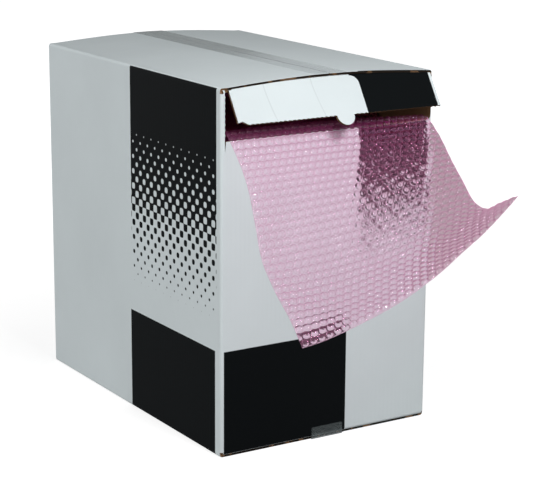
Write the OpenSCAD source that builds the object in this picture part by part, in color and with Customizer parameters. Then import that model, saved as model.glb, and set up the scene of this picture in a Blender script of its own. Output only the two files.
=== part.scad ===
// Corrugated dispenser carton with a roll of air-bubble film lying in it, and one sheet drawn
// out over the sill of the slot in its narrow wall. The slot's torn-out flap still hangs from
// the top crease, and a clear tape closes the carton's top and its bottom.
// Millimetres, +Z up. The origin is the middle of the carton's underside, -Y is the slot's side.

/* [Film] */
// Width of the film, and so the length of the roll
film_w = 305; // [250:1:360]
// Outside diameter of the roll
roll_d = 440; // [380:1:500]
// Diameter of the hollow in the middle of the roll
hollow_d = 40; // [20:1:80]
// Depth of the flat that the roll's weight presses into its underside
roll_flat = 1.3; // [0.5:0.1:3]
// Radial step between the grooves that the turns leave on the roll's ends
turn_step = 8; // [6:0.5:16]
// Depth of those grooves
turn_groove = 1; // [0.5:0.1:2]
// Thickness of the film over a bubble
film_t = 4.8; // [3:0.1:6]
// Thickness of the film between its bubbles
web_t = 1; // [0.6:0.1:1.6]
// Number of bubbles across the film
bubble_columns = 28; // [20:1:30]
// Length of the sheet that hangs out of the slot
hang_l = 305; // [240:1:330]

/* [Carton] */
// Thickness of the corrugated board
board = 3; // [2:0.1:5]
// Inside radius of a fold in the board
fold_in_r = 1; // [0.5:0.1:4]
// Gap between each end of the roll and the side wall
roll_side_gap = 4.5; // [2:0.5:20]
// Gap between the roll and the front wall, and between it and the rear wall
roll_wall_gap = 19.5; // [15:0.5:60]
// Gap between the top of the roll and the short flaps over it
roll_top_gap = 25; // [20:0.5:60]
// Clearance between the roll's flat and the carton's floor
roll_seat = 0.3; // [0.2:0.1:1]
// Gap between the long flaps where they meet at the centre seam
seam_gap = 1.5; // [0.5:0.1:5]
// Rise of the carton's top at that seam
top_bow = 7; // [1:0.5:12]
// Width over which a long flap lies flat beside its fold before it rises
bow_rest_w = 8; // [4:1:30]
// Distance from the long flaps' cut ends to the face of the wall under them
flap_setback = 3; // [2.5:0.1:6]
// Gap between a short flap's side and the side wall
flap_side_gap = 1; // [0.5:0.1:3]
// Width of the strip that is glued inside the carton's rear corner
glue_strip_w = 35; // [20:1:60]
// Distance from that strip's ends to the folds over and under it
glue_strip_trim = 3; // [1:0.5:20]
// Width of the open joint where the rear wall's cut edge meets that corner
glue_joint_gap = 1; // [0.4:0.1:3]

/* [Dispensing slot] */
// Height from the slot's sill to the top of the carton's corners
slot_h = 66; // [55:1:90]
// Width of the wall left standing at the slot's left
slot_left = 6.5; // [6:0.5:7]
// Width of the wall left standing at the slot's right
slot_right = 2; // [1.5:0.5:7]
// Radius of the slot's lower right corner
slot_corner_r = 8; // [2:0.5:15]
// Length of the tear that runs down from the slot's lower left corner
tear_l = 15; // [5:1:40]
// Width of that tear at its mouth
tear_w = 1.2; // [0.5:0.1:3]
// Spacing of the perforation's cuts
perf_pitch = 6.7; // [4:0.1:12]
// Depth of the scallops that the perforation leaves
perf_depth = 0.9; // [0.3:0.1:1.5]

/* [Dispenser flap] */
// Length of the flap, from its crease to its torn edge
flap_l = 46; // [30:1:48]
// Gap between the flap's left side and the slot's left side
flap_gap_left = 5; // [0.5:0.5:8]
// Gap between the flap's right side and the side wall's fold or the slot's side, the nearer one
flap_gap_right = 0.5; // [0.5:0.5:5]
// Angle that the flap stands open
flap_open = 32; // [24:1:80]
// Clearance round the flap's crease
crease_gap = 0.3; // [0.2:0.1:1]
// Width of the torn lower left corner
flap_corner_w = 16; // [4:1:30]
// Height of that torn corner
flap_corner_h = 5; // [1:0.5:12]
// Radius of the thumb tab
tab_r = 13; // [8:1:20]
// Distance from the carton's middle to the thumb tab
tab_x = 7; // [-60:1:60]

/* [Tape] */
// Width of the tape
tape_w = 48; // [30:1:75]
// Thickness of the tape
tape_t = 0.1; // [0.05:0.05:0.4]
// Distance from the centre seam to the middle of each tape
tape_x = 2; // [-8:1:8]
// Length of tape turned up the front and rear walls from the bottom
bottom_leg_l = 16; // [8:1:70]
// Length of tape turned down the rear wall from the top
top_leg_l = 55; // [20:1:90]

/* [Hidden] */
$fn = 48;
// Overlap that makes a cut or a joint between solids clean
eps = 0.5;

// The carton is sized round its roll
fold_r = fold_in_r + board;
carton_w = film_w + 2 * roll_side_gap + 2 * board;
carton_d = roll_d + 2 * roll_wall_gap + 2 * board;
carton_h = board + roll_seat + roll_d - roll_flat + roll_top_gap + 2 * board;
front_y = -carton_d / 2;
short_flap_l = (carton_w - seam_gap) / 2;
// Height at which the walls end and the folds of the short flaps begin
wall_top = carton_h - board - fold_r;
wall_bottom = board + fold_r;

sill_z = carton_h - slot_h;
slot_x0 = -carton_w / 2 + slot_left;
slot_x1 = carton_w / 2 - slot_right;

// The flap turns about the middle of the board at the ends of the top crease, and its upper
// edge follows the bowed top between them
crease_y = front_y + board / 2;
crease_z = carton_h - board - crease_gap - board / 2;
flap_x0 = slot_x0 + flap_gap_left;
crease_x1 = min(slot_x1, carton_w / 2 - fold_r);
flap_x1 = crease_x1 - flap_gap_right;
crease_steps = 24;
// Length at each end of the flap over which its upper edge is round about the crease
crease_end_w = 4;
function flap_rise(x) = board / 2 + bow(x);

roll_z = board + roll_seat + roll_d / 2 - roll_flat;

// Points along the bowed top, as distances from its middle
bow_steps = 12;
bow_half = carton_w / 2 - fold_r - bow_rest_w;
function bow(x) = top_bow * cos(90 * min(1, abs(x) / bow_half));
bow_xs = concat(
    [for (i = [0 : bow_steps]) seam_gap / 2 + (bow_half - seam_gap / 2) * i / bow_steps],
    [carton_w / 2 - fold_r]
);

// The rear wall and its flaps end at a cut edge near the rear right corner
joint_x = carton_w / 2 - fold_r - glue_joint_gap;

// Three guides lead the sheet: its left edge, its middle and its right edge. A point is the shift
// to the right, the distance out from the front wall, and the height over the sill. The first
// three points lie inside the carton and at the crest over the sill, and stay where they are.
guide_sheet_l = 305;
inside_points = 3;
left_guide = [[0, -17, -44], [0, -14, -12], [0, -3, 9], [0, 28, -17], [0, 52, -50], [0, 68, -90],
    [0, 83, -129], [1, 110, -160], [2, 142, -187], [4, 168, -218]];
middle_guide = [[0, -17, -44], [0, -14, -12], [0, -3, 8], [0, 27, -16], [0, 52, -46], [0, 74, -80],
    [0, 96, -115], [-3, 123, -145], [-6, 159, -160], [-8, 196, -163]];
right_guide = [[0, -17, -44], [0, -14, -12], [0, -3, 3], [0, 25, -15], [0, 50, -41], [-2, 78, -65],
    [-4, 108, -88], [-6, 142, -91], [-10, 173, -76], [-15, 204, -61]];

// Bubbles stand in rows with every other row shifted by half a bubble
bubble_pitch = film_w / bubble_columns;
row_pitch = bubble_pitch * sqrt(3) / 2;
ring_shift = bubble_pitch / (4 * sqrt(3));
inside_rows = 6;
hang_rows = round(hang_l * 0.92 / row_pitch);
rows = inside_rows + hang_rows;
// The film enters the strip that rises from the roll, thinner than it and narrower
strip_inset = 0.9;
strip_top = -34;

// Points of a straight edge from a to b with scallops on its left-hand side
function scallops(a, b) =
    let (
        run = b - a,
        count = max(1, round(norm(run) / perf_pitch)),
        side = [-run[1], run[0]] / norm(run)
    )
    [for (i = [0 : 3 * count - 1]) a + run * i / (3 * count) + side * perf_depth * abs(sin(60 * i))];

// Points of a round corner about c, from angle a0 to angle a1
function arc(c, r, a0, a1, steps) =
    [for (i = [0 : steps]) c + r * [cos(a0 + (a1 - a0) * i / steps), sin(a0 + (a1 - a0) * i / steps)]];

module rounded_rect(w, d, r) {
    square([w - 2 * r, d], center = true);
    square([w, d - 2 * r], center = true);
    for (sx = [-1, 1], sy = [-1, 1])
        translate([sx * (w / 2 - r), sy * (d / 2 - r)]) circle(r);
}

// Quarter of a fold, from +X round to +Y
module fold_quarter() {
    intersection() {
        difference() {
            circle(fold_r);
            circle(fold_in_r);
        }
        square(fold_r + eps);
    }
}

// Extrudes a drawing of the XZ plane along Y, between y0 and y1
module along_y(y0, y1) {
    translate([0, y1, 0]) rotate([90, 0, 0]) linear_extrude(y1 - y0) children();
}

// Extrudes a drawing of the YZ plane along X, over a width about the middle
module along_x(w) {
    translate([-w / 2, 0, 0]) rotate([90, 0, 90]) linear_extrude(w) children();
}

// One long flap with its fold, at the +X side, drawn with its top at z = 0. rise is 0 or 1.
module long_flap_2d(rise) {
    translate([carton_w / 2 - fold_r, -fold_r]) fold_quarter();
    translate([carton_w / 2 - board, -board - fold_r - eps]) square([board, board + eps]);
    polygon(concat(
        [for (x = bow_xs) [x, rise * bow(x)]],
        [for (i = [len(bow_xs) - 1 : -1 : 0]) [bow_xs[i], rise * bow(bow_xs[i]) - board]]
    ));
}

// One short flap with its fold, at the -Y side, drawn with its top at z = 0
module short_flap_2d() {
    translate([front_y + fold_r, -fold_r]) mirror([1, 0]) fold_quarter();
    translate([front_y, -fold_r - eps]) square([board, eps]);
    translate([front_y + fold_r, -board]) square([short_flap_l - fold_r, board]);
}

module long_flaps() {
    along_y(front_y + flap_setback, -front_y - flap_setback)
        for (side = [0, 1]) mirror([side, 0]) {
            translate([0, carton_h]) long_flap_2d(1);
            mirror([0, 1]) long_flap_2d(0);
        }
}

module short_flaps() {
    difference() {
        for (end = [0, 1]) mirror([0, end, 0])
            along_x(carton_w - 2 * board - 2 * flap_side_gap) {
                translate([0, carton_h - board]) short_flap_2d();
                translate([0, board]) mirror([0, 1]) short_flap_2d();
            }
        translate([joint_x, 0, 0]) cube([carton_w, carton_d, carton_h]);
    }
}

// The strip glued inside the rear right corner, which closes the folded sheet into a tube
module glue_strip() {
    translate([carton_w / 2 - board - glue_strip_w, -front_y - 2 * board, wall_bottom + glue_strip_trim])
        cube([glue_strip_w + eps / 2, board + eps / 2, wall_top - wall_bottom - 2 * glue_strip_trim]);
}

module walls() {
    difference() {
        union() {
            translate([0, 0, wall_bottom])
                linear_extrude(wall_top - wall_bottom)
                    difference() {
                        rounded_rect(carton_w, carton_d, fold_r);
                        rounded_rect(carton_w - 2 * board, carton_d - 2 * board, fold_in_r);
                    }
            glue_strip();
        }
        translate([joint_x, -front_y - board, wall_bottom - eps])
            cube([glue_joint_gap, board + eps, wall_top - wall_bottom + 2 * eps]);
    }
}

// Room behind the crease in which the flap's upper edge turns
module crease_cut() {
    xs = [for (i = [0 : crease_steps]) slot_x0 + (crease_x1 - slot_x0) * i / crease_steps];
    translate([0, 0, wall_top - board])
        linear_extrude(carton_h)
            polygon(concat(
                [[crease_x1, front_y], [slot_x0, front_y]],
                [for (x = xs) [x, crease_y + norm([flap_rise(x), board / 2]) + crease_gap]]
            ));
}

// Cuts the slot, with torn scallops at its sides and a tear under its left corner
module slot_cut() {
    left = scallops([slot_x0, crease_z], [slot_x0, sill_z + tear_w]);
    right = scallops([slot_x1, sill_z + slot_corner_r], [slot_x1, crease_z]);
    outline = concat(
        [[slot_x1, carton_h], [slot_x0, carton_h]],
        [for (p = left) [2 * slot_x0 - p[0], p[1]]],
        [[slot_x0 - tear_w / 2, sill_z - tear_l], [slot_x0 + tear_w, sill_z]],
        arc([slot_x1 - slot_corner_r, sill_z + slot_corner_r], slot_corner_r, -90, 0, 6),
        [for (p = right) [2 * slot_x1 - p[0], p[1]]]
    );
    along_y(front_y - eps, front_y + board + crease_gap) polygon(outline);
}

module carton() {
    color("gainsboro")
        difference() {
            union() {
                difference() {
                    union() {
                        walls();
                        short_flaps();
                    }
                    slot_cut();
                    crease_cut();
                }
                long_flaps();
            }
            translate([tape_x - tape_w / 2, front_y - eps, -eps])
                cube([tape_w, carton_d + 2 * eps, eps + tape_t]);
        }
}

// The torn-out flap, drawn closed: x along the crease, y up from it
module flap_2d() {
    bowed_w = flap_x1 - flap_x0 - 2 * crease_end_w;
    xs = [for (i = [0 : crease_steps]) flap_x1 - crease_end_w - bowed_w * i / crease_steps];
    polygon(concat(
        [[flap_x1, 0], [flap_x1 - crease_end_w, 0]],
        [for (x = xs) [x, flap_rise(x)]],
        [
            [flap_x0 + crease_end_w, 0],
            [flap_x0, 0],
            [flap_x0, -(flap_l - flap_corner_h * 0.7)],
            [flap_x0 + flap_corner_w * 0.4, -(flap_l - flap_corner_h)],
            [flap_x0 + flap_corner_w * 0.75, -(flap_l - flap_corner_h * 0.3)]
        ],
        [for (p = scallops([flap_x0 + flap_corner_w, -flap_l], [flap_x1, -flap_l])) p],
        [[flap_x1, -flap_l]]
    ));
    translate([tab_x, -flap_l]) circle(tab_r);
}

module dispenser_flap() {
    color("whitesmoke")
        translate([0, crease_y, crease_z])
            rotate([-flap_open, 0, 0]) {
                translate([0, board / 2, 0]) rotate([90, 0, 0]) linear_extrude(board) flap_2d();
                for (x = [flap_x0, flap_x1 - crease_end_w])
                    translate([x, 0, 0]) rotate([0, 90, 0]) cylinder(r = board / 2, h = crease_end_w);
            }
}

// Position on a guide at t, a smooth curve through its points
function guide_point(guide, i) = i < 0 ? 2 * guide[0] - guide[1]
    : i >= len(guide) ? 2 * guide[len(guide) - 1] - guide[len(guide) - 2] : guide[i];
function on_guide(guide, t) =
    let (
        i = min(floor(t), len(guide) - 2),
        f = t - i,
        a = guide_point(guide, i - 1),
        b = guide_point(guide, i),
        c = guide_point(guide, i + 1),
        d = guide_point(guide, i + 2)
    )
    (2 * b + (c - a) * f + (2 * a - 5 * b + 4 * c - d) * f * f + (3 * b - a - 3 * c + d) * f * f * f) / 2;

// A longer or shorter sheet stretches the guides beyond the crest
function sized(guide) =
    [for (i = [0 : len(guide) - 1]) i < inside_points ? guide[i]
        : guide[inside_points - 1] + (guide[i] - guide[inside_points - 1]) * hang_l / guide_sheet_l];
left_sized = sized(left_guide);
middle_sized = sized(middle_guide);
right_sized = sized(right_guide);

// Back face of the film at u across it, 0 to 1, and t along the guides
function back_point(u, t) =
    let (
        across = on_guide(left_sized, t) * (1 - u) * (1 - 2 * u)
            + on_guide(middle_sized, t) * 4 * u * (1 - u)
            + on_guide(right_sized, t) * u * (2 * u - 1),
        // The film is a little narrower where it enters the strip
        narrow = max(0, 1 - t) * strip_inset
    )
    [(u - 0.5) * (film_w - 2 * narrow) + across[0], front_y - across[1], sill_z + across[2]];

// Distance along the guides of row j, which may be a fraction
crest_t = inside_points - 1;
last_t = len(left_guide) - 1;
function row_t(j) = j <= inside_rows ? crest_t * j / inside_rows
    : crest_t + (last_t - crest_t) * (j - inside_rows) / hang_rows;

// Point at a height over the film's back face
step = 0.01;
function film_point(u, j, height) =
    let (
        t = row_t(min(rows, max(0, j))),
        p = back_point(u, t),
        ahead = back_point(u, min(last_t, t + step)) - back_point(u, max(0, t - step)),
        aside = back_point(min(1, u + step), t) - back_point(max(0, u - step), t),
        normal = cross(aside, ahead)
    )
    p - normal / norm(normal) * height;

// Heights of the bubbled face: flat inside the strip, bubbles from there on
inner_t = film_t - 2 * strip_inset;
function valley(j) = j < inside_rows / 2 ? inner_t : web_t;
function crown(j, k) = j < inside_rows / 2 ? inner_t
    : k == 0 || k == 2 * bubble_columns ? web_t : film_t;

module hanging_film() {
    n = bubble_columns;
    shift = ring_shift / row_pitch;
    ring_points = [for (j = [0 : rows], k = [0 : 2 * n])
        let (moved = j == 0 || j == rows ? 0 : (k + j) % 2 == 1 ? -shift : shift)
        film_point(k / (2 * n), j + moved, valley(j))];
    crown_points = [for (j = [0 : rows - 1], k = [(j + 1) % 2 : 2 : 2 * n])
        film_point(k / (2 * n), j + 0.5, crown(j, k))];
    back_points = [for (j = [0 : rows], m = [0 : n]) film_point(m / n, j, 0)];
    crown_base = len(ring_points);
    back_base = crown_base + len(crown_points);
    // Places of a point in the lists
    function ring(j, k) = j * (2 * n + 1) + k;
    function top(j, k) = crown_base + floor(j / 2) * (2 * n + 1) + (j % 2) * n + floor(k / 2);
    function back(j, m) = back_base + j * (n + 1) + m;
    bubbles = [for (j = [0 : rows - 1], k = [(j + 1) % 2 : 2 : 2 * n])
        each concat(
            k > 0 ? [
                [top(j, k), ring(j, k - 1), ring(j, k)],
                [top(j, k), ring(j + 1, k), ring(j + 1, k - 1)],
                [top(j, k), ring(j + 1, k - 1), ring(j, k - 1)]
            ] : [],
            k < 2 * n ? [
                [top(j, k), ring(j, k), ring(j, k + 1)],
                [top(j, k), ring(j, k + 1), ring(j + 1, k + 1)],
                [top(j, k), ring(j + 1, k + 1), ring(j + 1, k)]
            ] : []
        )];
    backs = [for (j = [0 : rows - 1], m = [0 : n - 1])
        each [
            [back(j, m), back(j + 1, m + 1), back(j, m + 1)],
            [back(j, m), back(j + 1, m), back(j + 1, m + 1)]
        ]];
    sides = [for (j = [0 : rows - 1])
        each (j % 2 == 0 ? [
            [ring(j, 0), back(j + 1, 0), back(j, 0)],
            [ring(j, 0), ring(j + 1, 0), back(j + 1, 0)],
            [ring(j, 2 * n), back(j, n), back(j + 1, n)],
            [ring(j, 2 * n), back(j + 1, n), ring(j + 1, 2 * n)]
        ] : [
            [ring(j, 0), top(j, 0), back(j, 0)],
            [top(j, 0), back(j + 1, 0), back(j, 0)],
            [top(j, 0), ring(j + 1, 0), back(j + 1, 0)],
            [ring(j, 2 * n), back(j, n), top(j, 2 * n)],
            [top(j, 2 * n), back(j, n), back(j + 1, n)],
            [top(j, 2 * n), back(j + 1, n), ring(j + 1, 2 * n)]
        ])];
    ends = [for (m = [0 : n - 1])
        each [
            [ring(0, 2 * m), back(0, m), ring(0, 2 * m + 1)],
            [ring(0, 2 * m + 1), back(0, m), back(0, m + 1)],
            [ring(0, 2 * m + 1), back(0, m + 1), ring(0, 2 * m + 2)],
            [ring(rows, 2 * m), ring(rows, 2 * m + 1), back(rows, m)],
            [ring(rows, 2 * m + 1), back(rows, m + 1), back(rows, m)],
            [ring(rows, 2 * m + 1), ring(rows, 2 * m + 2), back(rows, m + 1)]
        ]];
    polyhedron(
        points = concat(ring_points, crown_points, back_points),
        faces = concat(bubbles, backs, sides, ends),
        convexity = 6
    );
}

// The roll, with a groove between every few turns on its ends
module roll() {
    turns = floor((roll_d - hollow_d) / 2 / turn_step) - 1;
    groove_w = turn_step / 4;
    ends = [for (side = [1, -1])
        [for (i = [1 : turns], q = [-1, 0, 1])
            let (r = hollow_d / 2 + i * turn_step + q * groove_w / 2)
            [r, side * (film_w / 2 - (q == 0 ? turn_groove : 0))]]];
    outline = concat(
        [[hollow_d / 2, film_w / 2]],
        ends[0],
        [[roll_d / 2, film_w / 2], [roll_d / 2, -film_w / 2]],
        [for (i = [len(ends[1]) - 1 : -1 : 0]) ends[1][i]],
        [[hollow_d / 2, -film_w / 2]]
    );
    translate([0, 0, roll_z])
        rotate([0, 90, 0]) rotate_extrude($fn = 96) polygon(outline);
}

// The last turn where it leaves the roll and rises behind the front wall
module rising_strip() {
    start = left_guide[0];
    foot_z = roll_z - turn_step;
    foot_y = front_y + board + roll_wall_gap;
    strip_y = front_y - start[1];
    along_x(film_w - strip_inset)
        polygon([
            [foot_y - film_t / 3, foot_z],
            [foot_y + film_t, foot_z],
            [strip_y - strip_inset + film_t, sill_z + strip_top],
            [strip_y - strip_inset, sill_z + strip_top]
        ]);
}

module bubble_film() {
    color("orchid")
        union() {
            difference() {
                union() {
                    roll();
                    rising_strip();
                }
                translate([-carton_w / 2, -roll_d / 2, board - roll_flat])
                    cube([carton_w, roll_d, roll_seat + roll_flat]);
            }
            hanging_film();
        }
}

// Clearance under the top tape, so that none of its faces cuts into the board
tape_seat = 0.05;

// A skin on the bowed top between two heights over it
module top_skin(from, to) {
    xs = concat([for (i = [bow_steps : -1 : 0]) -bow_xs[i]], bow_xs);
    polygon(concat(
        [for (x = xs) [x, carton_h + bow(x) + from]],
        [for (i = [len(xs) - 1 : -1 : 0]) [xs[i], carton_h + bow(xs[i]) + to]]
    ));
}

module tape_band() {
    translate([tape_x - tape_w / 2, -carton_d, -eps]) cube([tape_w, 2 * carton_d, 2 * carton_h]);
}

module top_tape() {
    color("silver")
        intersection() {
            union() {
                along_y(front_y + flap_setback, -front_y + tape_seat + tape_t)
                    top_skin(tape_seat, tape_seat + tape_t);
                along_y(-front_y + tape_seat, -front_y + tape_seat + tape_t)
                    top_skin(-top_leg_l, tape_seat + tape_t);
            }
            tape_band();
        }
}

module bottom_tape() {
    color("silver")
        translate([tape_x - tape_w / 2, front_y - tape_t, 0])
            union() {
                cube([tape_w, carton_d + 2 * tape_t, tape_t]);
                cube([tape_w, tape_t, bottom_leg_l]);
                translate([0, carton_d + tape_t, 0]) cube([tape_w, tape_t, bottom_leg_l]);
            }
}

carton();
dispenser_flap();
bubble_film();
top_tape();
bottom_tape();
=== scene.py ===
import math

import bmesh
import bpy
from mathutils import Matrix, Vector, noise


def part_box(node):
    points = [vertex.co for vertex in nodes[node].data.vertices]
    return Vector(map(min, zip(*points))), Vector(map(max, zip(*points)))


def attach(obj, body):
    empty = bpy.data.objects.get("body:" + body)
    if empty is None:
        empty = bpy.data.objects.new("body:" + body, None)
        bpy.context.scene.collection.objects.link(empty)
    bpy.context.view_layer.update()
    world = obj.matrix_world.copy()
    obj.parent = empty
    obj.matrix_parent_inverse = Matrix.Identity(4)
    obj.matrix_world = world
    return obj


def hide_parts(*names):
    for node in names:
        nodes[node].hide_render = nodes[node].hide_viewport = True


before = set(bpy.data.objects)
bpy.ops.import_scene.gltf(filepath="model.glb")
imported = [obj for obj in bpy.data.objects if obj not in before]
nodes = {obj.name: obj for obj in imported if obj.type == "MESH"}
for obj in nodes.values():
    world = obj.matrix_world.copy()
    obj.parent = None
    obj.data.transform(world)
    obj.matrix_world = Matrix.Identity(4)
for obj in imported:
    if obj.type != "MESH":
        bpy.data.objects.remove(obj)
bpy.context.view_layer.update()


# Studio: a long lens low on the carton's left front corner, one key light high before its
# front, which throws the flap's shadow under the sill, and weaker light from the other sides.
# Floor and backdrop look white to the camera and keep the carton's shadow.
azimuth, elevation, lean = map(math.radians, (-32.117, 13.810, 0.357))
camera_place = (-1.24058, -2.06976, 0.80351)
away = Vector((
    math.sin(azimuth) * math.cos(elevation),
    -math.cos(azimuth) * math.cos(elevation),
    math.sin(elevation),
))
level = Vector((0, 0, 1)).cross(away).normalized()
upright = away.cross(level)
camera = bpy.data.objects.new("camera", bpy.data.cameras.new("camera"))
camera.data.sensor_width = 36
camera.data.lens = 120.05
camera.data.clip_end = 50
camera.matrix_world = Matrix.Translation(camera_place) @ Matrix((
    level * math.cos(lean) + upright * math.sin(lean),
    upright * math.cos(lean) - level * math.sin(lean),
    away,
)).transposed().to_4x4()
bpy.context.scene.collection.objects.link(camera)
bpy.context.scene.camera = camera
bpy.context.scene.view_settings.view_transform = "Standard"
lit_point = Vector((0, -0.1, 0.3))


def soft_light(name, towards, distance, size, brightness):
    """A square lamp that shines on the lit point. Its brightness is what a white surface there
    that faces it takes on."""
    lamp = bpy.data.lights.new(name, "AREA")
    lamp.size = size
    lamp.energy = brightness * math.pi ** 2 * distance ** 2
    light = bpy.data.objects.new(name, lamp)
    towards = Vector(towards).normalized()
    light.location = lit_point + towards * distance
    light.rotation_euler = towards.to_track_quat("Z", "Y").to_euler()
    bpy.context.scene.collection.objects.link(light)


soft_light("key light", (-0.06, -0.76, 0.64), 1.4, 0.24, 0.59)
soft_light("left light", (-0.88, -0.40, 0.25), 4.0, 1.8, 0.37)
soft_light("right light", (0.93, -0.30, 0.20), 4.0, 1.8, 0.22)
soft_light("back light", (-0.45, 0.87, 0.24), 4.0, 1.8, 0.36)


def add_node(tree, kind, inputs=(), **settings):
    """Adds a shader node. Its inputs are given as (socket, value or another node's output)."""
    made = tree.nodes.new("ShaderNode" + kind)
    for name, value in settings.items():
        setattr(made, name, value)
    for place, value in inputs:
        if isinstance(value, bpy.types.NodeSocket):
            tree.links.new(value, made.inputs[place])
        else:
            made.inputs[place].default_value = value
    return made


def calc(tree, operation, *values, clamp=False):
    """The output of one Math node."""
    return add_node(
        tree, "Math", list(enumerate(values)), operation=operation, use_clamp=clamp
    ).outputs[0]


def mixed(tree, share, first, second):
    """The output of a colour mix, from first to second."""
    return add_node(
        tree, "Mix", [(0, share), (6, first), (7, second)], data_type="RGBA"
    ).outputs[2]


def ways_seen(tree):
    """Two shares of 0 or 1: where the camera sees the surface, also by a reflection or through
    clear film, and where it does so with no clear film in between."""
    path = add_node(tree, "LightPath")
    seen = calc(
        tree, "MAXIMUM", path.outputs["Is Camera Ray"],
        calc(tree, "MAXIMUM", path.outputs["Is Glossy Ray"], path.outputs["Is Transmission Ray"]),
    )
    in_the_open = calc(tree, "LESS_THAN", path.outputs["Transparent Depth"], 0.5)
    return seen, calc(tree, "MULTIPLY", seen, in_the_open)


# The sky's strength: for lighting, where it is seen through film, and where it is seen plainly
sky_light, sky_behind_film, sky_white = 0.12, 0.38, 1.0
world = bpy.data.worlds.new("studio")
world.use_nodes = True
bpy.context.scene.world = world
sky = world.node_tree
sky.nodes.clear()
seen, seen_directly = ways_seen(sky)
strength = calc(
    sky, "MULTIPLY_ADD", seen_directly, sky_white - sky_behind_film,
    calc(sky, "MULTIPLY_ADD", seen, sky_behind_film - sky_light, sky_light),
)
background = add_node(sky, "Background", [("Color", (1, 1, 1, 1)), ("Strength", strength)])
add_node(sky, "OutputWorld", [("Surface", background.outputs[0])])

floor_mesh = bmesh.new()
bmesh.ops.create_grid(floor_mesh, x_segments=1, y_segments=1, size=12)
floor = bpy.data.objects.new("floor", bpy.data.meshes.new("floor"))
floor_mesh.to_mesh(floor.data)
floor_mesh.free()
bpy.context.scene.collection.objects.link(floor)
floor_paint = bpy.data.materials.new("floor paint")
floor_paint.use_nodes = True
tree = floor_paint.node_tree
tree.nodes.clear()
# The floor glows like the backdrop, but less near the carton, which paints a soft shade around it,
# so that its shadow stays
from_carton = add_node(tree, "VectorMath", [
    (0, add_node(tree, "TexCoord").outputs["Object"])
], operation="LENGTH").outputs["Value"]
glow_with_painted_shade = add_node(tree, "MapRange", [
    ("Value", from_carton), ("From Min", 0.4), ("From Max", 1.3), ("To Min", 0.76), ("To Max", 1.0)
]).outputs[0]
glow_behind_film = 0.20
seen, seen_directly = ways_seen(tree)
film_glow = calc(
    tree, "MULTIPLY", glow_behind_film, calc(tree, "SUBTRACT", seen, seen_directly)
)
shown_glow = add_node(tree, "Emission", [
    ("Color", (1, 1, 1, 1)),
    ("Strength", calc(tree, "MULTIPLY_ADD", seen_directly, glow_with_painted_shade, film_glow)),
])
paint = add_node(tree, "BsdfDiffuse", [("Color", (0.45, 0.45, 0.45, 1))])
together = add_node(tree, "AddShader", [(0, paint.outputs[0]), (1, shown_glow.outputs[0])])
add_node(tree, "OutputMaterial", [("Surface", together.outputs[0])])
floor.data.materials.append(floor_paint)


# Carton: corrugated board, printed on its white outside and bare kraft inside and where it
# was cut. It is one sheet folded into a tube and glued, and its flaps are folded shut.
carton_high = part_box("carton")[1]
half_width, half_depth = carton_high.x, carton_high.y
wall_height = 0.473
board = 0.003
liner = 0.0004
flute_pitch = 0.0066
fold_radius = 0.004
bow_rise, bow_half = 0.007, 0.148
rough_kraft, rough_liner = 0.86, 0.70
# Width over which ink fades at a field's edge, and a margin for tests of place
ink_blur, slack = 0.0004, 0.0005
# The part of a face's normal along an axis from which the face counts as turned that way
turned = 0.7
white_board = (0.664, 0.725, 0.741, 1)
kraft_paper = (0.24, 0.135, 0.070, 1)
# Painted shade for the hollows between the flutes at cut edges
painted_hollow_shade = (0.018, 0.013, 0.010, 1)
black_ink = (0.0040, 0.0050, 0.0056, 1)


def new_group(name, inputs, outputs):
    """A shader node group with named sockets, and its two end nodes."""
    group = bpy.data.node_groups.new(name, "ShaderNodeTree")
    for title, value in inputs.items():
        kind = "NodeSocketVector" if isinstance(value, tuple) else "NodeSocketFloat"
        socket = group.interface.new_socket(title, in_out="INPUT", socket_type=kind)
        socket.default_value = value
    for title, kind in outputs.items():
        group.interface.new_socket(title, in_out="OUTPUT", socket_type="NodeSocket" + kind)
    return group, group.nodes.new("NodeGroupInput"), group.nodes.new("NodeGroupOutput")


def use_group(tree, group, **inputs):
    """Places a group. The inputs' names are its sockets' with _ for a space."""
    made = tree.nodes.new("ShaderNodeGroup")
    made.node_tree = group
    for title, value in inputs.items():
        place = made.inputs[title.replace("_", " ")]
        if isinstance(value, bpy.types.NodeSocket):
            tree.links.new(value, place)
        else:
            place.default_value = value
    return made.outputs


# A printed field with straight sides
printed_field, given, out = new_group(
    "printed field",
    {"Along": 0.0, "Up": 0.0, "Left": 0.0, "Right": 1.0, "Bottom": 0.0, "Top": 1.0},
    {"Ink": "Float"},
)
inside = calc(
    printed_field, "MINIMUM",
    calc(
        printed_field, "MINIMUM",
        calc(printed_field, "SUBTRACT", given.outputs["Along"], given.outputs["Left"]),
        calc(printed_field, "SUBTRACT", given.outputs["Right"], given.outputs["Along"]),
    ),
    calc(
        printed_field, "MINIMUM",
        calc(printed_field, "SUBTRACT", given.outputs["Up"], given.outputs["Bottom"]),
        calc(printed_field, "SUBTRACT", given.outputs["Top"], given.outputs["Up"]),
    ),
)
printed_field.links.new(
    calc(printed_field, "MULTIPLY_ADD", inside, 1 / ink_blur, 0.5, clamp=True), out.inputs[0]
)

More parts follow.
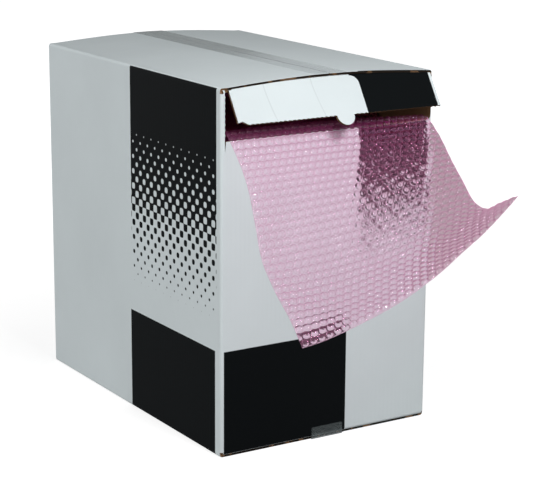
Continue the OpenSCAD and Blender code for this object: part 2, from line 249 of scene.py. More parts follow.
# Staggered dots that fade from full ink at the height Full to bare board at the height Bare
fading_dots, given, out = new_group(
    "fading dots",
    {"Along": 0.0, "Up": 0.0, "Width": 0.0100, "Height": 0.0100, "Full": 1.0, "Bare": 0.0},
    {"Ink": "Float"},
)
waves = calc(
    fading_dots, "MULTIPLY",
    *[
        calc(
            fading_dots, "COSINE",
            calc(
                fading_dots, "MULTIPLY", math.pi,
                calc(fading_dots, "DIVIDE", given.outputs[place], given.outputs[spacing]),
            ),
        )
        for place, spacing in (("Along", "Width"), ("Up", "Height"))
    ],
)
dot_reach, dot_sharpness = 1.03, 9.0
tone = add_node(fading_dots, "MapRange", [
    ("Value", given.outputs["Up"]), ("From Min", given.outputs["Bare"]),
    ("From Max", given.outputs["Full"]), ("To Min", -dot_reach), ("To Max", dot_reach),
], clamp=False)
fading_dots.links.new(
    calc(
        fading_dots, "MULTIPLY_ADD",
        calc(fading_dots, "SUBTRACT", tone.outputs[0], waves), dot_sharpness, 0.5, clamp=True,
    ),
    out.inputs[0],
)

# Paper over the flutes: faint stripes of the flutes, the paper's grain, and soft dents
paper_surface, given, out = new_group(
    "paper surface",
    {"Place": (0.0, 0.0, 0.0), "Across flutes": 0.0},
    {"Height": "Float", "Stain and shade": "Float"},
)
flutes = calc(
    paper_surface, "SINE",
    calc(
        paper_surface, "MULTIPLY", 2 * math.pi,
        calc(paper_surface, "DIVIDE", given.outputs["Across flutes"], flute_pitch),
    ),
)
grain = add_node(paper_surface, "TexNoise", [
    ("Vector", given.outputs["Place"]), ("Scale", 900.0), ("Detail", 3.0)
])
dents = add_node(paper_surface, "TexNoise", [
    ("Vector", given.outputs["Place"]), ("Scale", 14.0), ("Detail", 2.0)
])
paper_surface.links.new(
    calc(
        paper_surface, "ADD",
        calc(paper_surface, "MULTIPLY", flutes, 0.10),
        calc(
            paper_surface, "ADD",
            calc(paper_surface, "MULTIPLY", grain.outputs[0], 0.10),
            calc(paper_surface, "MULTIPLY", dents.outputs[0], 0.9),
        ),
    ),
    out.inputs["Height"],
)
clouds = add_node(paper_surface, "TexNoise", [
    ("Vector", given.outputs["Place"]), ("Scale", 5.0), ("Detail", 5.0), ("Roughness", 0.6)
])
paper_surface.links.new(
    add_node(paper_surface, "MapRange", [
        ("Value", clouds.outputs[0]), ("From Min", 0.3), ("From Max", 0.7),
        ("To Min", 0.96), ("To Max", 1.03),
    ]).outputs[0],
    out.inputs["Stain and shade"],
)

# The cut edge of the board: two liners and the waved flute between them, with painted shade where
# hollow.
# Through runs from -0.5 to 0.5 across the board, and so do the flute's swing, half its paper
# and the liners' start.
flute_swing, flute_paper, liner_start = 0.34, 0.13, 0.36
cut_edge, given, out = new_group(
    "cut edge of the board",
    {"Through": 0.0, "Along": 0.0, "Wave": 1.0},
    {"Paper": "Float"},
)
middle_line = calc(
    cut_edge, "MULTIPLY",
    calc(cut_edge, "MULTIPLY", given.outputs["Wave"], flute_swing),
    calc(
        cut_edge, "SINE",
        calc(
            cut_edge, "MULTIPLY", 2 * math.pi,
            calc(cut_edge, "DIVIDE", given.outputs["Along"], flute_pitch),
        ),
    ),
)
from_flute = calc(
    cut_edge, "ABSOLUTE", calc(cut_edge, "SUBTRACT", given.outputs["Through"], middle_line)
)
from_middle = calc(cut_edge, "ABSOLUTE", given.outputs["Through"])
on_flute = calc(cut_edge, "LESS_THAN", from_flute, flute_paper)
on_liner = calc(cut_edge, "GREATER_THAN", from_middle, liner_start)
cut_edge.links.new(calc(cut_edge, "MAXIMUM", on_flute, on_liner), out.inputs[0])


def board_material(name):
    """An empty material with the place on the object, split into X, Y and Z."""
    material = bpy.data.materials.new(name)
    material.use_nodes = True
    tree = material.node_tree
    tree.nodes.clear()
    place = add_node(tree, "TexCoord").outputs["Object"]
    apart = add_node(tree, "SeparateXYZ", [(0, place)])
    return material, tree, place, apart.outputs


def finish_board(tree, outside, paper, ink, surface):
    """Puts the print, the white liner, the kraft and, where paper is 0, the painted shade of
    hollows together on one satin surface.
    """
    printed = mixed(tree, ink, white_board, black_ink)
    stained_and_shaded = add_node(tree, "Mix", [
        (0, 1.0), (6, mixed(tree, outside, kraft_paper, printed)), (7, surface["Stain and shade"])
    ], data_type="RGBA", blend_type="MULTIPLY").outputs[2]
    colour = mixed(tree, paper, painted_hollow_shade, stained_and_shaded)
    bump = add_node(tree, "Bump", [
        ("Height", surface["Height"]), ("Strength", 0.25), ("Distance", 0.0006)
    ])
    roughness = calc(tree, "MULTIPLY_ADD", outside, rough_liner - rough_kraft, rough_kraft)
    board_shader = add_node(tree, "BsdfPrincipled", [
        ("Base Color", colour), ("Roughness", roughness), ("Normal", bump.outputs[0])
    ])
    board_shader.inputs["Specular IOR Level"].default_value = 0.02
    add_node(tree, "OutputMaterial", [("Surface", board_shader.outputs[0])])


carton_board, tree, place, (x, y, z) = board_material("printed carton board")

# Depth under the carton's outside, which is round at its folds and bowed on its top
bow_angle = calc(
    tree, "MINIMUM", calc(tree, "DIVIDE", calc(tree, "ABSOLUTE", x), bow_half), 1.0
)
bow = calc(
    tree, "MULTIPLY",
    calc(
        tree, "MULTIPLY",
        calc(tree, "COSINE", calc(tree, "MULTIPLY", bow_angle, math.pi / 2)), bow_rise,
    ),
    calc(tree, "GREATER_THAN", z, wall_height / 2),
)
flat_z = calc(tree, "SUBTRACT", calc(tree, "SUBTRACT", z, bow), wall_height / 2)
beyond = add_node(tree, "VectorMath", [
    (0, add_node(tree, "VectorMath", [
        (0, add_node(tree, "VectorMath", [
            (0, add_node(tree, "CombineXYZ", [(0, x), (1, y), (2, flat_z)]).outputs[0])
        ], operation="ABSOLUTE").outputs[0]),
        (1, (half_width - fold_radius, half_depth - fold_radius, wall_height / 2 - fold_radius)),
    ], operation="SUBTRACT").outputs[0]),
    (1, (0, 0, 0)),
], operation="MAXIMUM")
reach = add_node(
    tree, "VectorMath", [(0, beyond.outputs[0])], operation="LENGTH"
).outputs["Value"]
near_outside = calc(tree, "GREATER_THAN", reach, fold_radius - liner)
facing = add_node(tree, "SeparateXYZ", [
    (0, add_node(tree, "NewGeometry").outputs["Normal"])
]).outputs
# On the round of a fold, whatever slopes outwards is outside too
sloped_out = calc(tree, "MULTIPLY", *[
    calc(
        tree, "GREATER_THAN", calc(tree, "MULTIPLY", slope, calc(tree, "SIGN", side)), 0.05
    )
    for slope, side in ((facing[1], y), (facing[2], flat_z))
])
near_fold = calc(
    tree, "GREATER_THAN", calc(tree, "ABSOLUTE", y), half_depth - fold_radius - liner / 2
)
outside = calc(tree, "MAXIMUM", near_outside, calc(tree, "MULTIPLY", sloped_out, near_fold))

# Print on the front, 4.5 mm in from the left corner: a low field, and a high one that fades out
on_front = calc(tree, "LESS_THAN", facing[1], -turned)
front_low = use_group(
    tree, printed_field, Along=x, Up=z, Left=-0.1555, Right=0.030, Bottom=0.0, Top=0.140
)[0]
front_high = use_group(
    tree, printed_field, Along=x, Up=z, Left=0.043, Right=0.151, Bottom=0.22, Top=0.48
)[0]
front_dots = use_group(
    tree, fading_dots, Along=calc(tree, "SUBTRACT", x, 0.048), Up=z, Width=0.0087, Height=0.0111,
    Full=0.372, Bare=0.226,
)[0]
front_ink = calc(
    tree, "MAXIMUM", front_low, calc(tree, "MULTIPLY", front_high, front_dots)
)
# Print on the left side: a low field, and a high one that fades out
on_side = calc(tree, "LESS_THAN", facing[0], -turned)
from_front = calc(tree, "ADD", y, half_depth)
side_low = use_group(
    tree, printed_field, Along=from_front, Up=z, Left=0.014, Right=0.239, Bottom=0.0, Top=0.139
)[0]
side_high = use_group(
    tree, printed_field, Along=from_front, Up=z, Left=0.0105, Right=0.235, Bottom=0.17, Top=0.48
)[0]
side_dots = use_group(
    tree, fading_dots, Along=calc(tree, "SUBTRACT", from_front, 0.0181),
    Up=calc(tree, "SUBTRACT", z, 0.0022), Full=0.388, Bare=0.178,
)[0]
side_ink = calc(tree, "MAXIMUM", side_low, calc(tree, "MULTIPLY", side_high, side_dots))
ink = calc(
    tree, "MAXIMUM",
    calc(tree, "MULTIPLY", on_front, front_ink), calc(tree, "MULTIPLY", on_side, side_ink),
)
ink = calc(tree, "MULTIPLY", ink, outside)

# The flutes run up the walls and from the side folds to the seam
on_top, on_a_side = (
    calc(tree, "GREATER_THAN", calc(tree, "ABSOLUTE", facing[axis]), turned)
    for axis in (2, 0)
)
across = mixed(tree, calc(tree, "MAXIMUM", on_top, on_a_side), x, y)
surface = use_group(tree, paper_surface, Place=place, Across_flutes=across)
# Cut ends of the long flaps, where their thickness runs up: painted dark as the shade in their
# hollows, with brown bits of the flute
top_through = calc(
    tree, "DIVIDE",
    calc(tree, "SUBTRACT", flat_z, wall_height / 2 - board / 2), board,
)
long_edge = calc(
    tree, "MULTIPLY", use_group(tree, cut_edge, Through=top_through, Along=x, Wave=0.15)[0],
    calc(tree, "GREATER_THAN", add_node(tree, "TexNoise", [
        ("Vector", place), ("Scale", 70.0), ("Detail", 4.0)
    ]).outputs[0], 0.56),
)
on_long_edge = calc(
    tree, "MULTIPLY",
    calc(tree, "GREATER_THAN", calc(tree, "ABSOLUTE", facing[1]), turned),
    calc(
        tree, "GREATER_THAN", calc(tree, "ABSOLUTE", flat_z), wall_height / 2 - board - slack
    ),
)
paper = calc(
    tree, "MAXIMUM", calc(tree, "MAXIMUM", long_edge, outside),
    calc(tree, "SUBTRACT", 1.0, on_long_edge),
)
finish_board(tree, outside, paper, ink, surface)
nodes["carton"].data.materials.clear()
nodes["carton"].data.materials.append(carton_board)


# Dispenser flap: the part of the front wall that was torn out along its perforation to open
# the slot. It keeps the wall's print, hangs from the top crease, and shows kraft at its edges.
crease_y, crease_z = -0.241, 0.4682
flap_angle = math.radians(32)
flap_length = 0.046
flap_board, tree, place, (x, y, z) = board_material("printed flap board")
from_crease = add_node(tree, "VectorMath", [
    (0, place), (1, (0, crease_y, crease_z))
], operation="SUBTRACT").outputs[0]
down = add_node(tree, "VectorMath", [
    (0, from_crease), (1, (0, -math.sin(flap_angle), -math.cos(flap_angle)))
], operation="DOT_PRODUCT").outputs["Value"]
through = calc(tree, "DIVIDE", add_node(tree, "VectorMath", [
    (0, from_crease), (1, (0, -math.cos(flap_angle), math.sin(flap_angle)))
], operation="DOT_PRODUCT").outputs["Value"], board)
# Where its white liner starts, and its faces, as shares of the board from its middle
white_start, face_start = 0.40, 0.47
outside = calc(tree, "GREATER_THAN", through, white_start)
# The black field, which the white one meets with a round upper corner
field_x, field_right, field_top, corner_r = 0.0415, 0.1515, -0.0065, 0.012
into_corner = add_node(tree, "VectorMath", [
    (0, add_node(tree, "CombineXYZ", [
        (0, calc(tree, "MAXIMUM", calc(tree, "SUBTRACT", x, field_x - corner_r), 0.0)),
        (1, calc(tree, "MAXIMUM", calc(tree, "SUBTRACT", field_top + corner_r, down), 0.0)),
    ]).outputs[0])
], operation="LENGTH").outputs["Value"]
flap_field = use_group(
    tree, printed_field, Along=x, Up=down, Left=field_x, Right=field_right, Bottom=-0.01
)[0]
rounding = calc(
    tree, "MULTIPLY", calc(tree, "GREATER_THAN", into_corner, corner_r),
    calc(tree, "MULTIPLY", calc(tree, "GREATER_THAN", x, field_x - corner_r), calc(
        tree, "LESS_THAN", x, field_x + slack
    )),
)
ink = calc(tree, "MULTIPLY", outside, calc(tree, "MAXIMUM", flap_field, rounding))
surface = use_group(tree, paper_surface, Place=place, Across_flutes=x)
# Two soft creases run down its white part, where a thumb bent it. They dent its bump and are
# painted darker, as shade.
creases = 0.0
crease_bend, crease_depth, crease_shade = 1.5, 0.7, 0.16
way_down = calc(tree, "MAXIMUM", calc(tree, "DIVIDE", down, flap_length), 0.0)
for top_x, bottom_x, width in ((-0.0985, -0.0925, 0.0011), (-0.0285, -0.0215, 0.0009)):
    line_x = calc(
        tree, "MULTIPLY_ADD", calc(tree, "POWER", way_down, crease_bend), bottom_x - top_x, top_x
    )
    away_from = calc(tree, "ABSOLUTE", calc(tree, "SUBTRACT", x, line_x))
    line = calc(
        tree, "SUBTRACT", 1.0, calc(tree, "DIVIDE", away_from, width), clamp=True
    )
    creases = calc(tree, "MAXIMUM", creases, line)
shaded = calc(tree, "MULTIPLY_ADD", creases, -crease_shade, 1.0)
side_facing = add_node(tree, "SeparateXYZ", [
    (0, add_node(tree, "NewGeometry").outputs["Normal"])
]).outputs[0]
# Its lower edge shows the flute's wave, with painted shade where hollow. Its sides are brown on
# their inner half, and painted dark on the outer one, as the shade of its hollows.
wave = calc(tree, "LESS_THAN", calc(tree, "ABSOLUTE", side_facing), turned)
edge = calc(
    tree, "MAXIMUM",
    calc(tree, "MULTIPLY", wave, use_group(tree, cut_edge, Through=through, Along=x)[0]),
    calc(tree, "MULTIPLY", calc(tree, "SUBTRACT", 1.0, wave), calc(
        tree, "LESS_THAN", through, 0.0
    )),
)
on_face = calc(tree, "GREATER_THAN", calc(tree, "ABSOLUTE", through), face_start)
# Its stain, darkened along the creases by their painted shade
surface_of_flap = {
    "Height": calc(tree, "MULTIPLY_ADD", creases, -crease_depth, surface["Height"]),
    "Stain and shade": calc(tree, "MULTIPLY", surface["Stain and shade"], shaded),
}
finish_board(tree, outside, calc(tree, "MAXIMUM", edge, on_face), ink, surface_of_flap)
nodes["dispenser_flap"].data.materials.clear()
nodes["dispenser_flap"].data.materials.append(flap_board)


# Air-bubble film: two layers of clear pink film welded together, the outer one drawn into
# round bubbles in staggered rows. Sheet and roll are one length; the sheet was pulled out over
# the slot's sill and hangs from it, its free corner curled up.
film_width = 0.305
bubble_columns = 28
bubble_pitch = film_width / bubble_columns
row_pitch = bubble_pitch * math.sqrt(3) / 2
film_height = 0.0048
web = 0.001
bubble_radius = 0.0047
deflated_width = 0.0045
front_y, sill_z = -half_depth, 0.407
ripple_size = 0.0022

# Rows of bubbles, and steps between a guide's points, on the strip that rises behind the wall,
# from there to the crest over the sill, and on the hanging sheet
rows_in_strip, rows_inside, rows_hanging = 16, 6, 30
strip_steps, inside_steps, hanging_steps = 3, 2, 7
rows = rows_in_strip + rows_inside + rows_hanging

# Three guides, as in the part's source: left edge, middle and right edge of the sheet's back.
# A point is the shift to the right, the distance out from the front wall and the height over
# the sill, in millimetres. The strip that rises behind the wall comes before them.
strip_guide = [(0, -22.2, -193), (0, -20.5, -143.3), (0, -18.8, -93.7)]
guides = [
    [Vector(point) / 1000 for point in strip_guide + guide]
    for guide in (
        [(0, -17, -44), (0, -14, -12), (0, -3, 9), (0, 28, -17), (0, 52, -50), (0, 68, -90),
         (0, 83, -129), (1, 110, -160), (2, 142, -187), (4, 168, -218)],
        [(0, -17, -44), (0, -14, -12), (0, -3, 8), (0, 27, -16), (0, 52, -46), (0, 74, -80),
         (0, 96, -115), (-3, 123, -145), (-6, 159, -160), (-8, 196, -163)],
        [(0, -17, -44), (0, -14, -12), (0, -3, 3), (0, 25, -15), (0, 50, -41), (-2, 78, -65),
         (-4, 108, -88), (-6, 142, -91), (-10, 173, -76), (-15, 204, -61)],
    )
]


def on_guide(guide, t):
    """The place at t steps from the start of a Catmull-Rom curve through a guide's points."""
    i = min(max(math.floor(t), 0), len(guide) - 2)
    f = t - i
    a = guide[i - 1] if i > 0 else 2 * guide[0] - guide[1]
    b, c = guide[i], guide[i + 1]
    d = guide[i + 2] if i + 2 < len(guide) else 2 * guide[-1] - guide[-2]
    return (
        2 * b + (c - a) * f + (2 * a - 5 * b + 4 * c - d) * f * f
        + (3 * b - a - 3 * c + d) * f * f * f
    ) / 2


def back_of_sheet(u, row):
    """The back of the sheet at u across it, 0 to 1, and a row that counts from the roll."""
    along = row - rows_in_strip
    if along < 0:
        t = strip_steps + strip_steps * along / rows_in_strip
    elif along < rows_inside:
        t = strip_steps + inside_steps * along / rows_inside
    else:
        hanging = (along - rows_inside) / rows_hanging
        t = strip_steps + inside_steps + hanging_steps * hanging
    left, middle, right = (on_guide(guide, t) for guide in guides)
    shift, out, height = (
        left * (1 - u) * (1 - 2 * u) + middle * 4 * u * (1 - u) + right * u * (2 * u - 1)
    )
    return Vector(((u - 0.5) * film_width + shift, front_y - out, sill_z + height))


def on_sheet(u, row, height):
    """A point at a height over the back of the sheet, on its bubbled side."""
    ahead = back_of_sheet(u, row + 0.05) - back_of_sheet(u, row - 0.05)
    aside = back_of_sheet(u + 0.005, row) - back_of_sheet(u - 0.005, row)
    place = back_of_sheet(u, row)
    # Soft ripples that grow over the first twelve hanging rows
    grown = min(1.0, max(0.0, (row - rows_in_strip - rows_inside) / 12))
    ripple = grown * ripple_size * noise.noise(Vector((u * 7, row / 6, 3.7)))
    return place - aside.cross(ahead).normalized() * (height + ripple)


# One six-sided cell with its round bubble, flat: a ring for its foot and three up its wall and
# shoulder, each given as (radius, height), and the crown
flat_film = bmesh.new()
bmesh.ops.create_circle(flat_film, cap_ends=True, segments=6, radius=bubble_pitch / math.sqrt(3))
bmesh.ops.subdivide_edges(flat_film, edges=flat_film.edges[:], cuts=1)
for radius, height in (
    (bubble_radius, web), (0.0044, 0.0029), (0.0036, 0.0042), (0.0024, 0.00462)
):
    cap = max(flat_film.faces, key=lambda face: len(face.verts))
    bmesh.ops.inset_region(
        flat_film, faces=[cap], thickness=0.0002, use_boundary=True, use_even_offset=False
    )
    cap = max(flat_film.faces, key=lambda face: len(face.verts))
    for vert in cap.verts:
        vert.co.xy = vert.co.xy.normalized() * radius
        vert.co.z = height
crown = bmesh.ops.poke(flat_film, faces=[max(flat_film.faces, key=lambda face: len(face.verts))])
crown["verts"][0].co.z = film_height
for vert in flat_film.verts:
    vert.co.z = max(vert.co.z, web)


def repeat(shift, times):
    """Doubles the flat film again and again along shift."""
    for doubling in range(times):
        copy = bmesh.ops.duplicate(
            flat_film, geom=flat_film.faces[:] + flat_film.edges[:] + flat_film.verts[:]
        )["geom"]
        bmesh.ops.translate(
            flat_film, verts=[part for part in copy if isinstance(part, bmesh.types.BMVert)],
            vec=Vector(shift) * 2 ** doubling,
        )


# 32 columns, then a second row set half a bubble aside, then 32 pairs of rows, all cut to size
repeat((bubble_pitch, 0, 0), 5)
repeat((bubble_pitch / 2, row_pitch, 0), 1)
repeat((0, 2 * row_pitch, 0), 5)
bmesh.ops.translate(
    flat_film, verts=flat_film.verts[:], vec=(-film_width / 2 - bubble_pitch / 2, -row_pitch / 2, 0)
)
bmesh.ops.remove_doubles(flat_film, verts=flat_film.verts[:], dist=1e-5)
for point, normal in (
    ((-film_width / 2, 0, 0), (-1, 0, 0)), ((film_width / 2, 0, 0), (1, 0, 0)),
    ((0, 0, 0), (0, -1, 0)), ((0, rows * row_pitch, 0), (0, 1, 0)),
):
    bmesh.ops.bisect_plane(
        flat_film, geom=flat_film.faces[:] + flat_film.edges[:] + flat_film.verts[:],
        plane_co=point, plane_no=normal, clear_outer=True, dist=1e-6,
    )
# Bubbles that the slitting knife cut have lost their air
for vert in flat_film.verts:
    from_cut = min(film_width / 2 - abs(vert.co.x), rows * row_pitch - vert.co.y)
    full = min(1.0, max(0.0, from_cut / deflated_width))
    vert.co.z = web + (vert.co.z - web) * full ** 0.5
# The rim, and the flat layer behind, cut into a grid that can bend
rim = [edge for edge in flat_film.edges if edge.is_boundary]
down_edge = bmesh.ops.extrude_edge_only(flat_film, edges=rim)["geom"]
for part in down_edge:
    if isinstance(part, bmesh.types.BMVert):
        part.co.z = 0
border = [edge for edge in flat_film.edges if edge.is_boundary]
back = bmesh.ops.edgeloop_fill(flat_film, edges=border)["faces"]
for count, step, direction in (
    (bubble_columns, bubble_pitch, Vector((1, 0, 0))), (rows, row_pitch, Vector((0, 1, 0)))
):
    start = -film_width / 2 if direction.x else 0
    for number in range(1, count):
        pieces = set(back)
        for face in back:
            pieces.update(face.edges)
            pieces.update(face.verts)
        cut = bmesh.ops.bisect_plane(
            flat_film, geom=list(pieces), plane_co=direction * (start + step * number),
            plane_no=direction, dist=1e-7,
        )
        back = [part for part in cut["geom"] if isinstance(part, bmesh.types.BMFace)]

# The place on the flat film is kept as the UV map, which the film's material reads
uv = flat_film.loops.layers.uv.new("flat film")
for face in flat_film.faces:
    for loop in face.loops:
        loop[uv].uv = (loop.vert.co.x / film_width + 0.5, loop.vert.co.y / film_width)
for vert in flat_film.verts:
    vert.co = on_sheet(vert.co.x / film_width + 0.5, vert.co.y / row_pitch, vert.co.z)
bmesh.ops.recalc_face_normals(flat_film, faces=flat_film.faces[:])
sheet = bpy.data.objects.new("drawn_out_sheet", bpy.data.meshes.new("drawn_out_sheet"))
for face in flat_film.faces:
    face.smooth = True
flat_film.to_mesh(sheet.data)
flat_film.free()
bpy.context.scene.collection.objects.link(sheet)

# Rows of bubbles on the flat film: Dome is the bubble's height as a share of the highest, and
# Foot the ring it stands on
bubble_rows, given, out = new_group(
    "rows of bubbles", {"Across": 0.0, "Along": 0.0}, {"Dome": "Float", "Foot": "Float"}
)
nearest = None
for half_step in (0.0, 0.5):
    offsets = []
    for title, pitch in (("Across", bubble_pitch), ("Along", 2 * row_pitch)):
        counted = calc(bubble_rows, "DIVIDE", given.outputs[title], pitch)
        cell = calc(bubble_rows, "ADD", counted, half_step)
        centred = calc(bubble_rows, "SUBTRACT", cell, calc(bubble_rows, "ROUND", cell))
        offsets.append(calc(bubble_rows, "MULTIPLY", centred, pitch))
    off = add_node(bubble_rows, "VectorMath", [
        (0, add_node(bubble_rows, "CombineXYZ", [(0, offsets[0]), (1, offsets[1])]).outputs[0])
    ], operation="LENGTH").outputs["Value"]
    nearest = off if nearest is None else calc(bubble_rows, "MINIMUM", nearest, off)
share = calc(bubble_rows, "DIVIDE", nearest, bubble_radius)
bubble_rows.links.new(
    calc(
        bubble_rows, "SQRT",
        calc(bubble_rows, "MAXIMUM", 0.0, calc(
            bubble_rows, "SUBTRACT", 1.0, calc(bubble_rows, "MULTIPLY", share, share)
        )),
    ),
    out.inputs["Dome"],
)
foot_place, foot_steepness = 0.95, 5.0
foot = calc(
    bubble_rows, "SUBTRACT", 1.0,
    calc(bubble_rows, "MULTIPLY", calc(
        bubble_rows, "ABSOLUTE", calc(bubble_rows, "SUBTRACT", share, foot_place)
    ), foot_steepness), clamp=True,
)
bubble_rows.links.new(foot, out.inputs["Foot"])

# The film's tint when it is seen straight and at a slant, and in the light that it lets by,
# throws back, scatters forwards and mirrors
seen_straight, seen_aslant = (1.0, 0.89, 0.955, 1), (1.0, 0.45, 0.72, 1)
let_by, thrown_back = (0.99, 0.97, 0.98, 1), (0.98, 0.10, 0.46, 1)
scattered, mirrored = (1.0, 0.34, 0.67, 1), (1.0, 0.60, 0.82, 1)
# What the bubbles' feet and a slanting view add to its cover, and its bump's two parts
foot_cover, slant_cover = 0.08, 0.52
wrinkle_bump, dome_bump = 0.35, 0.8


def film_material(name, density, row_place):
    """Clear pink film, denser at the bubbles' feet and where it is seen at a slant. density is
    its cover elsewhere, and row_place gives a tree's place across and along the rows in metres."""
    material = bpy.data.materials.new(name)
    material.use_nodes = True
    tree = material.node_tree
    tree.nodes.clear()
    across, along = row_place(tree)
    cells = use_group(tree, bubble_rows, Across=across, Along=along)
    wrinkles = add_node(tree, "TexNoise", [
        ("Vector", add_node(tree, "CombineXYZ", [(0, across), (1, along)]).outputs[0]),
        ("Scale", 420.0), ("Detail", 3.0), ("Roughness", 0.6),
    ])
    height = calc(
        tree, "MULTIPLY_ADD", wrinkles.outputs[0], wrinkle_bump,
        calc(tree, "MULTIPLY", cells["Dome"], dome_bump),
    )
    bump = add_node(tree, "Bump", [
        ("Height", height), ("Strength", 0.6), ("Distance", 0.0012)
    ])
    slant = add_node(tree, "LayerWeight", [("Blend", 0.30), ("Normal", bump.outputs[0])])
    cover = calc(
        tree, "ADD", calc(tree, "MULTIPLY_ADD", cells["Foot"], foot_cover, density),
        calc(tree, "MULTIPLY", slant.outputs["Facing"], slant_cover), clamp=True,
    )
    # What lies behind is seen bent by the bubbles. Light on its way to other surfaces goes
    # straight through, and only the roll's many turns stop it.
    clear = add_node(tree, "BsdfTransparent", [("Color", let_by)])
    lens = add_node(tree, "BsdfRefraction", [
        ("Color", mixed(tree, slant.outputs["Facing"], seen_straight, seen_aslant)),
        ("Normal", bump.outputs[0]),
    ])
    lens.inputs["Roughness"].default_value = 0.03
    lens.inputs["IOR"].default_value = 1.12
    skin = add_node(tree, "BsdfPrincipled", [("Normal", bump.outputs[0])])
    skin.inputs["Base Color"].default_value = thrown_back
    skin.inputs["Roughness"].default_value = 0.5
    skin.inputs["Specular IOR Level"].default_value = 0.05
    glow_through = add_node(tree, "BsdfTranslucent", [("Color", scattered)])
    body = add_node(tree, "MixShader", [
        (0, 0.4), (1, skin.outputs[0]), (2, glow_through.outputs[0])
    ])
    film = add_node(tree, "MixShader", [
        (0, cover), (1, lens.outputs[0]), (2, body.outputs[0])
    ])
    mirror = add_node(tree, "Fresnel", [("IOR", 1.6), ("Normal", bump.outputs[0])])
    gloss = add_node(tree, "BsdfGlossy", [("Color", mirrored), ("Normal", bump.outputs[0])])
    gloss.inputs["Roughness"].default_value = 0.12
    seen = add_node(tree, "MixShader", [
        (0, mirror.outputs[0]), (1, film.outputs[0]), (2, gloss.outputs[0])
    ])
    passed = add_node(tree, "MixShader", [
        (0, density), (1, clear.outputs[0]), (2, body.outputs[0])
    ])
    shader = add_node(tree, "MixShader", [
        (0, add_node(tree, "LightPath").outputs["Is Camera Ray"]), (1, passed.outputs[0]),
        (2, seen.outputs[0]),
    ])
    add_node(tree, "OutputMaterial", [("Surface", shader.outputs[0])])
    return material


def place_on_sheet(tree):
    """The place across and along the flat sheet, less half a column and half a row."""
    flat = add_node(tree, "SeparateXYZ", [
        (0, add_node(tree, "UVMap", uv_map="flat film").outputs[0])
    ])
    across = calc(tree, "MULTIPLY_ADD", flat.outputs[0], film_width, -bubble_pitch / 2)
    along = calc(tree, "MULTIPLY_ADD", flat.outputs[1], film_width, -row_pitch / 2)
    return across, along


sheet.data.materials.append(film_material("clear pink film", 0.01, place_on_sheet))
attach(sheet, "box")
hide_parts("bubble_film")


# Roll: the rest of the film, wound on itself without a core. Its turns show as rings on its
# ends, its weight presses it flat underneath, and it lies loose on the carton's floor.
roll_radius, hollow_radius = 0.220, 0.020
roll_centre = Vector((0, 0, 0.222))
roll_seat = 0.0033
rings, turn_step, groove = 23, 0.008, 0.001
# The roll's section over its axis, as (radius, place along the axis), is spun about that axis
winding = bmesh.new()
profile = [(hollow_radius, film_width / 2)]
for ring in range(1, rings + 1):
    ring_radius = hollow_radius + ring * turn_step
    profile += [
        (ring_radius - groove, film_width / 2), (ring_radius, film_width / 2 - groove),
        (ring_radius + groove, film_width / 2),
    ]
profile.append((roll_radius, film_width / 2))
profile += [(radius, -side) for radius, side in reversed(profile)]
points = [winding.verts.new((side, 0, radius)) for radius, side in profile]
lines = [winding.edges.new(pair) for pair in zip(points, points[1:] + points[:1])]
bmesh.ops.spin(
    winding, geom=points + lines, cent=(0, 0, 0), axis=(1, 0, 0), angle=2 * math.pi, steps=144,
    use_merge=True,
)
bmesh.ops.remove_doubles(winding, verts=winding.verts[:], dist=1e-6)
bmesh.ops.translate(winding, verts=winding.verts[:], vec=roll_centre)
for vert in winding.verts:
    vert.co.z = max(vert.co.z, roll_seat)
bmesh.ops.recalc_face_normals(winding, faces=winding.faces[:])
for face in winding.faces:
    face.smooth = abs(face.normal.x) < 0.3
roll = bpy.data.objects.new("film_roll", bpy.data.meshes.new("film_roll"))
winding.to_mesh(roll.data)
winding.free()
bpy.context.scene.collection.objects.link(roll)


def place_on_roll(tree):
    """The place along the roll's axis and around its outside."""
    spot = add_node(tree, "SeparateXYZ", [
        (0, add_node(tree, "TexCoord").outputs["Object"])
    ]).outputs
    angle = calc(tree, "ARCTAN2", calc(tree, "SUBTRACT", spot[2], roll_centre.z), spot[1])
    return spot[0], calc(tree, "MULTIPLY", angle, roll_radius)


roll.data.materials.append(film_material("wound pink film", 0.86, place_on_roll))
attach(roll, "box")
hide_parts("bubble_film")


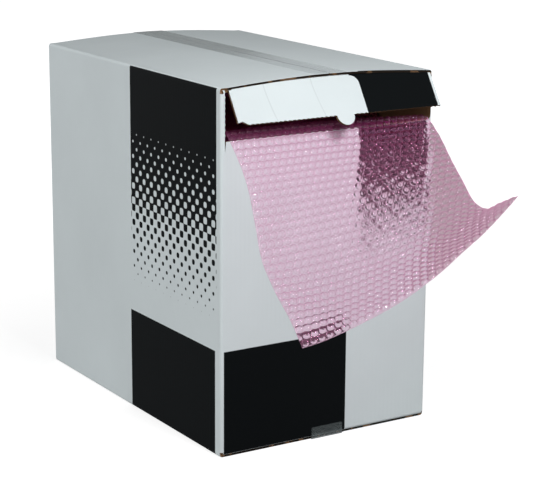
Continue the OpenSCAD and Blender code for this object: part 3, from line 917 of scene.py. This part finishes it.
# Tapes: clear packing tape, glossy and slightly grey, over the centre seam of the top and of
# the bottom. Its ends are pressed onto the rear wall, and at the bottom onto the front wall too.
tape_film = bpy.data.materials.new("clear packing tape")
tape_film.use_nodes = True
tree = tape_film.node_tree
tree.nodes.clear()
pale_tape, reflection_grey = (0.60, 0.64, 0.66, 1), (0.23, 0.27, 0.275, 1)
# How far it hides the board: everywhere, more where it is grey with the painted reflection, and
# most in its streaks
least_cover, grey_cover, streak_cover = 0.07, 0.09, 0.18
spot = add_node(tree, "SeparateXYZ", [
    (0, add_node(tree, "TexCoord").outputs["Object"])
]).outputs
# It is pale near the front of the top, and grey everywhere else: on the top the grey is a painted
# reflection of something dark, and the bottom tape takes that grey all over
painted_reflection_share = calc(
    tree, "MAXIMUM", calc(tree, "LESS_THAN", spot[2], wall_height / 2),
    add_node(tree, "MapRange", [
        ("Value", spot[1]), ("From Min", -0.14), ("From Max", 0.02),
        ("To Min", 0.0), ("To Max", 1.0),
    ], interpolation_type="SMOOTHSTEP").outputs[0],
)
tape_tone_with_reflection = mixed(tree, painted_reflection_share, pale_tape, reflection_grey)
# Streaks run along it, where it lies on the board with and without air under it
streaks = add_node(tree, "TexNoise", [
    ("Vector", add_node(tree, "CombineXYZ", [
        (0, calc(tree, "MULTIPLY", spot[0], 160.0)), (1, calc(tree, "MULTIPLY", spot[1], 6.0)),
        (2, spot[2]),
    ]).outputs[0]), ("Scale", 1.0), ("Detail", 2.0)
])
cover = calc(
    tree, "ADD", calc(tree, "MULTIPLY_ADD", painted_reflection_share, grey_cover, least_cover),
    calc(tree, "MULTIPLY", streaks.outputs[0], streak_cover),
)
press = add_node(tree, "Bump", [
    ("Height", streaks.outputs[0]), ("Strength", 0.3), ("Distance", 0.0004)
])
tape_shader = add_node(tree, "BsdfPrincipled", [
    ("Base Color", tape_tone_with_reflection), ("Alpha", cover), ("Normal", press.outputs[0])
])
tape_shader.inputs["Roughness"].default_value = 0.30
tape_shader.inputs["Specular IOR Level"].default_value = 0.20
add_node(tree, "OutputMaterial", [("Surface", tape_shader.outputs[0])])
for name in ("top_tape", "bottom_tape"):
    nodes[name].data.materials.clear()
    nodes[name].data.materials.append(tape_film)
